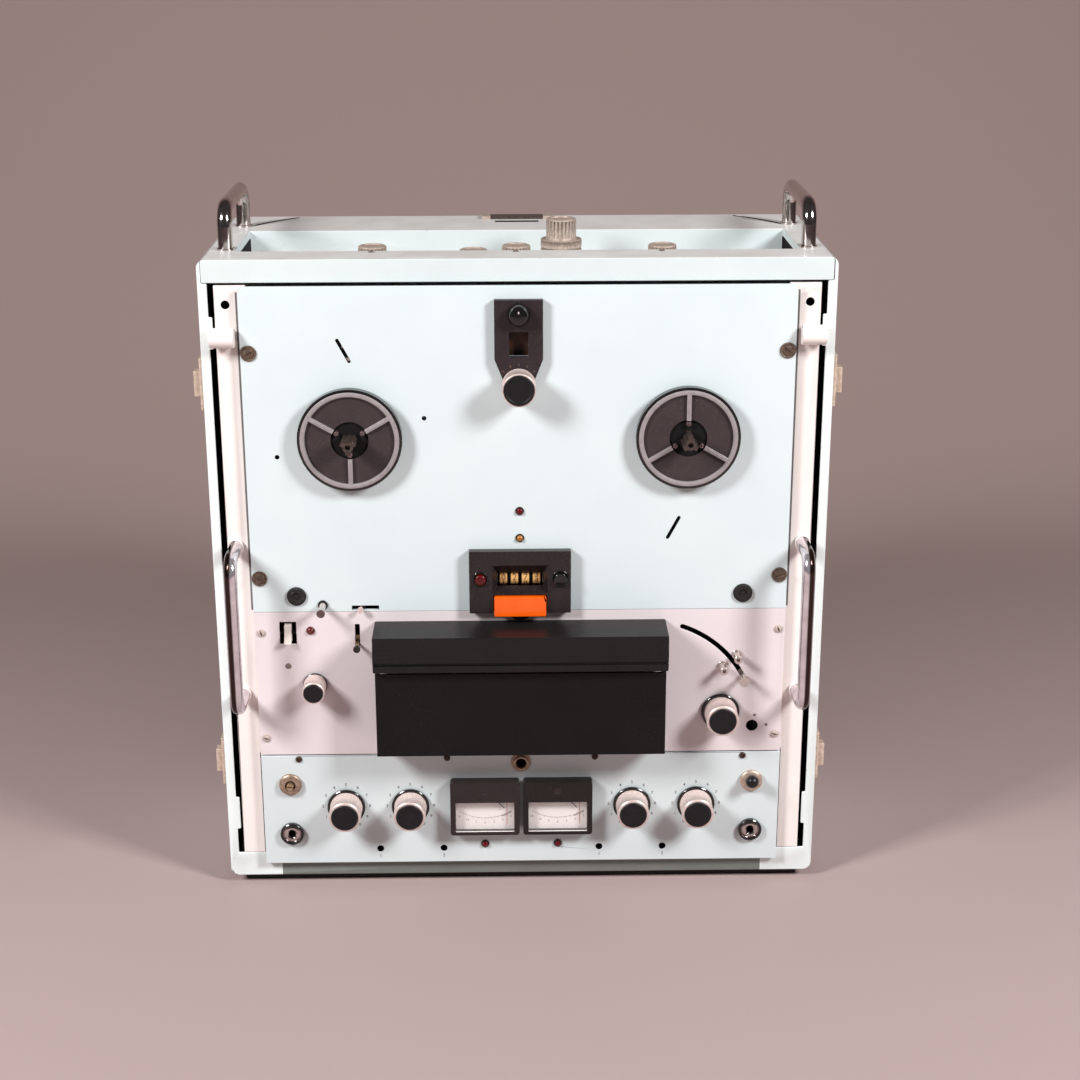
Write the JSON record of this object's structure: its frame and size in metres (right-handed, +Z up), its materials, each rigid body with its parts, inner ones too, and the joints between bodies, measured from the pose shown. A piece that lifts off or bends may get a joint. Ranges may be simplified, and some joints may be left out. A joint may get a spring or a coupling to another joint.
{
  "type": "reel-to-reel tape recorder",
  "caption": "Open-reel tape recorder in an upright sheet-metal carrying case, with turntables, a covered head block, level meters, turning knobs and carrying handles.",
  "frame": {"origin": "centre of the part's box, on the surface that the skids stand on", "axes": "+Z up, +X to the right seen from the front, -Y out of the front panels towards the user"},
  "size_m": [0.523, 0.259, 0.59],
  "materials": {
    "black_enamel": "semi-gloss",
    "black_plastic": "gloss",
    "black_rubber": "matte",
    "board_fibre": "matte",
    "bright_steel": "polished",
    "bush_bronze": "aged",
    "cap_bronze": "aged, knurled",
    "case_enamel": "semi-gloss, chipped at the edges",
    "case_top_enamel": "semi-gloss",
    "catch_brass": "worn",
    "chassis_metal": "satin",
    "control_enamel": "semi-gloss",
    "cream_enamel": "semi-gloss",
    "cream_panel": "semi-gloss",
    "cream_plastic": "gloss",
    "deck_enamel": "semi-gloss",
    "drum_plastic": "matte",
    "grey_plastic": "matte",
    "grey_rubber": "matte",
    "handle_chrome": "polished, worn",
    "head_cover_enamel": "semi-gloss, chipped at the edges",
    "head_metal": "polished",
    "knob_aluminium": "satin, with black caps",
    "lamp_plastic": "translucent",
    "lock_plastic": "matte",
    "meter_plastic": "gloss",
    "motor_metal": "satin",
    "needle_metal": "matte",
    "orange_plastic": "gloss",
    "rack_handle_chrome": "polished",
    "rear_enamel": "semi-gloss",
    "red_plastic": "gloss",
    "screw_bronze": "aged",
    "steel": "polished",
    "transformer_iron": "matte",
    "turntable_metal": "satin"
  },
  "bodies": {
    "recorder": {"case_shell": "case_enamel", "case_top": "case_top_enamel", "chassis_frame": "chassis_metal", "circuit_boards": "board_fibre", "control_panel": "control_enamel", "counter_bezel": "black_plastic", "deck_plate": "deck_enamel", "drive_belt": "grey_rubber", "drive_motors": "motor_metal", "guide_posts": "bright_steel", "head_base": "chassis_metal", "head_cover": "head_cover_enamel", "head_panel": "cream_panel", "indicator_lamps": "lamp_plastic", "lid_catches": "catch_brass", "mains_transformer": "transformer_iron", "meter_housings": "meter_plastic", "panel_bushings": "bush_bronze", "panel_controls": "grey_plastic", "panel_screws": "screw_bronze", "rack_handles": "rack_handle_chrome", "rack_strips": "cream_enamel", "rear_cover": "rear_enamel", "rubber_skids": "black_rubber", "speed_shield": "black_enamel", "tape_heads": "head_metal", "top_handles": "handle_chrome", "well_connectors": "cap_bronze"},
    "turntable_left": {"turntable_left": "turntable_metal"},
    "turntable_right": {"turntable_right": "turntable_metal"},
    "reel_lock_left": {"reel_lock_left": "lock_plastic"},
    "reel_lock_right": {"reel_lock_right": "lock_plastic"},
    "speed_knob": {"speed_knob": "knob_aluminium"},
    "spooling_dial": {"spooling_dial": "black_plastic"},
    "record_button": {"record_button": "red_plastic"},
    "counter_reset_button": {"counter_reset_button": "black_plastic"},
    "pause_key": {"pause_key": "orange_plastic"},
    "counter_drum_thousands": {"counter_drum_thousands": "drum_plastic"},
    "counter_drum_hundreds": {"counter_drum_hundreds": "drum_plastic"},
    "counter_drum_tens": {"counter_drum_tens": "drum_plastic"},
    "counter_drum_units": {"counter_drum_units": "drum_plastic"},
    "head_cover_flap": {"head_cover_flap": "head_cover_enamel"},
    "function_knob": {"function_knob": "knob_aluminium"},
    "transport_knob": {"transport_knob": "knob_aluminium"},
    "replay_gain_left": {"replay_gain_left": "knob_aluminium"},
    "record_gain_left": {"record_gain_left": "knob_aluminium"},
    "record_gain_right": {"record_gain_right": "knob_aluminium"},
    "replay_gain_right": {"replay_gain_right": "knob_aluminium"},
    "toggle_lever": {"toggle_lever": "steel"},
    "preset_spindle": {"preset_spindle": "screw_bronze"},
    "meter_needle_left": {"meter_needle_left": "needle_metal"},
    "meter_needle_right": {"meter_needle_right": "needle_metal"},
    "tension_arm": {"tension_arm": "bright_steel"},
    "tension_lever": {"tension_lever": "steel"},
    "tape_switch": {"tape_switch": "steel"},
    "mains_rocker": {"mains_rocker": "cream_plastic"},
    "pinch_arm": {"pinch_arm": "steel"},
    "pinch_roller": {"pinch_roller": "grey_rubber"},
    "capstan_flywheel": {"capstan_flywheel": "steel"},
    "motor_pulley": {"motor_pulley": "steel"}
  },
  "joints": [
    {"name": "left_turntable_spin", "type": "hinge", "parent": "recorder", "child": "turntable_left", "pos_m": [-0.1365, -0.095, 0.4058], "axis": [0, 1, 0], "continuous": true},
    {"name": "left_reel_lock_turn", "type": "hinge", "parent": "turntable_left", "child": "reel_lock_left", "pos_m": [-0.1365, -0.114, 0.4058], "axis": [0, 1, 0], "range_deg": [0, 60]},
    {"name": "right_turntable_spin", "type": "hinge", "parent": "recorder", "child": "turntable_right", "pos_m": [0.1365, -0.095, 0.4058], "axis": [0, 1, 0], "continuous": true},
    {"name": "right_reel_lock_turn", "type": "hinge", "parent": "turntable_right", "child": "reel_lock_right", "pos_m": [0.1365, -0.114, 0.4058], "axis": [0, 1, 0], "range_deg": [0, 60]},
    {"name": "speed_knob_turn", "type": "hinge", "parent": "recorder", "child": "speed_knob", "pos_m": [0, -0.103, 0.45035], "axis": [0, 1, 0], "range_deg": [-45, 45]},
    {"name": "spooling_dial_turn", "type": "hinge", "parent": "recorder", "child": "spooling_dial", "pos_m": [0, -0.099, 0.5075], "axis": [0, 1, 0], "range_deg": [-135, 135]},
    {"name": "record_button_press", "type": "slide", "parent": "recorder", "child": "record_button", "axis": [0, 1, 0], "range_m": [0, 0.0025], "stiffness_N_per_m": 400, "springref_m": -0.001},
    {"name": "counter_reset_press", "type": "slide", "parent": "recorder", "child": "counter_reset_button", "axis": [0, 1, 0], "range_m": [0, 0.0025], "stiffness_N_per_m": 400, "springref_m": -0.001},
    {"name": "pause_key_press", "type": "hinge", "parent": "recorder", "child": "pause_key", "pos_m": [0, -0.0934, 0.271], "axis": [1, 0, 0], "range_deg": [0, 6], "stiffness_Nm_per_rad": 0.4, "springref_deg": -5.73},
    {"name": "units_drum_turn", "type": "hinge", "parent": "recorder", "child": "counter_drum_units", "pos_m": [0, -0.0788, 0.2845], "axis": [1, 0, 0], "continuous": true},
    {"name": "tens_drum_turn", "type": "hinge", "parent": "recorder", "child": "counter_drum_tens", "pos_m": [0, -0.0788, 0.2845], "axis": [1, 0, 0], "continuous": true},
    {"name": "hundreds_drum_turn", "type": "hinge", "parent": "recorder", "child": "counter_drum_hundreds", "pos_m": [0, -0.0788, 0.2845], "axis": [1, 0, 0], "continuous": true},
    {"name": "thousands_drum_turn", "type": "hinge", "parent": "recorder", "child": "counter_drum_thousands", "pos_m": [0, -0.0788, 0.2845], "axis": [1, 0, 0], "continuous": true},
    {"name": "flap_hinge", "type": "hinge", "parent": "recorder", "child": "head_cover_flap", "pos_m": [0, -0.116, 0.1405], "axis": [1, 0, 0], "range_deg": [0, 90]},
    {"name": "function_knob_turn", "type": "hinge", "parent": "recorder", "child": "function_knob", "pos_m": [-0.173, -0.103, 0.191], "axis": [0, 1, 0], "range_deg": [-60, 60]},
    {"name": "transport_knob_turn", "type": "hinge", "parent": "recorder", "child": "transport_knob", "pos_m": [0.1696, -0.103, 0.163], "axis": [0, 1, 0], "range_deg": [-75, 75]},
    {"name": "replay_gain_left_turn", "type": "hinge", "parent": "recorder", "child": "replay_gain_left", "pos_m": [-0.1506, -0.099, 0.0767], "axis": [0, 1, 0], "range_deg": [-150, 150]},
    {"name": "record_gain_left_turn", "type": "hinge", "parent": "recorder", "child": "record_gain_left", "pos_m": [-0.0954, -0.099, 0.0767], "axis": [0, 1, 0], "range_deg": [-150, 150]},
    {"name": "record_gain_right_turn", "type": "hinge", "parent": "recorder", "child": "record_gain_right", "pos_m": [0.0954, -0.099, 0.0767], "axis": [0, 1, 0], "range_deg": [-150, 150]},
    {"name": "replay_gain_right_turn", "type": "hinge", "parent": "recorder", "child": "replay_gain_right", "pos_m": [0.1506, -0.099, 0.0767], "axis": [0, 1, 0], "range_deg": [-150, 150]},
    {"name": "toggle_flip", "type": "hinge", "parent": "recorder", "child": "toggle_lever", "pos_m": [0.1978, -0.083, 0.0983], "axis": [1, 0, 0], "range_deg": [0, 20]},
    {"name": "preset_turn", "type": "hinge", "parent": "recorder", "child": "preset_spindle", "pos_m": [-0.1978, -0.091, 0.0983], "axis": [0, 1, 0], "range_deg": [-135, 135]},
    {"name": "left_meter_swing", "type": "hinge", "parent": "recorder", "child": "meter_needle_left", "pos_m": [-0.0313, -0.09425, 0.0938], "axis": [0, 1, 0], "range_deg": [0, 88], "stiffness_Nm_per_rad": 0.0005, "springref_deg": -20.05},
    {"name": "right_meter_swing", "type": "hinge", "parent": "recorder", "child": "meter_needle_right", "pos_m": [0.0313, -0.09425, 0.0938], "axis": [0, 1, 0], "range_deg": [0, 88], "stiffness_Nm_per_rad": 0.0005, "springref_deg": -20.05},
    {"name": "tension_arm_swing", "type": "hinge", "parent": "recorder", "child": "tension_arm", "pos_m": [0.1044, -0.083, 0.1513], "axis": [0, -1, 0], "range_deg": [0, 42], "stiffness_Nm_per_rad": 0.03, "springref_deg": -28.65},
    {"name": "tension_lever_swing", "type": "hinge", "parent": "recorder", "child": "tension_lever", "pos_m": [-0.1287, -0.079, 0.207], "axis": [0, 1, 0], "range_deg": [-4, 12], "stiffness_Nm_per_rad": 0.05},
    {"name": "tape_switch_lift", "type": "slide", "parent": "recorder", "child": "tape_switch", "axis": [0, 0, 1], "range_m": [0, 0.015]},
    {"name": "mains_rocker_flip", "type": "hinge", "parent": "recorder", "child": "mains_rocker", "pos_m": [-0.194, -0.087, 0.2372], "axis": [1, 0, 0], "range_deg": [0, 22]},
    {"name": "pinch_arm_swing", "type": "hinge", "parent": "recorder", "child": "pinch_arm", "pos_m": [0.042, -0.095, 0.234], "axis": [0, 1, 0], "range_deg": [0, 7], "stiffness_Nm_per_rad": 0.08, "springref_deg": -28.65},
    {"name": "pinch_roller_spin", "type": "hinge", "parent": "pinch_arm", "child": "pinch_roller", "pos_m": [0.08, -0.105, 0.226], "axis": [0, 1, 0], "continuous": true},
    {"name": "capstan_spin", "type": "hinge", "parent": "recorder", "child": "capstan_flywheel", "pos_m": [0.08, -0.083, 0.208], "axis": [0, 1, 0], "continuous": true},
    {"name": "motor_pulley_spin", "type": "hinge", "parent": "recorder", "child": "motor_pulley", "pos_m": [-0.035, -0.043, 0.208], "axis": [0, 1, 0], "continuous": true}
  ],
  "couplings": [
    {"joint": "units_drum_turn", "follows": "left_turntable_spin", "ratio": 0.05},
    {"joint": "tens_drum_turn", "follows": "left_turntable_spin", "ratio": 0.005},
    {"joint": "hundreds_drum_turn", "follows": "left_turntable_spin", "ratio": 0.0005},
    {"joint": "thousands_drum_turn", "follows": "left_turntable_spin", "ratio": 0.00005},
    {"joint": "motor_pulley_spin", "follows": "capstan_spin", "ratio": 6.5}
  ]
}
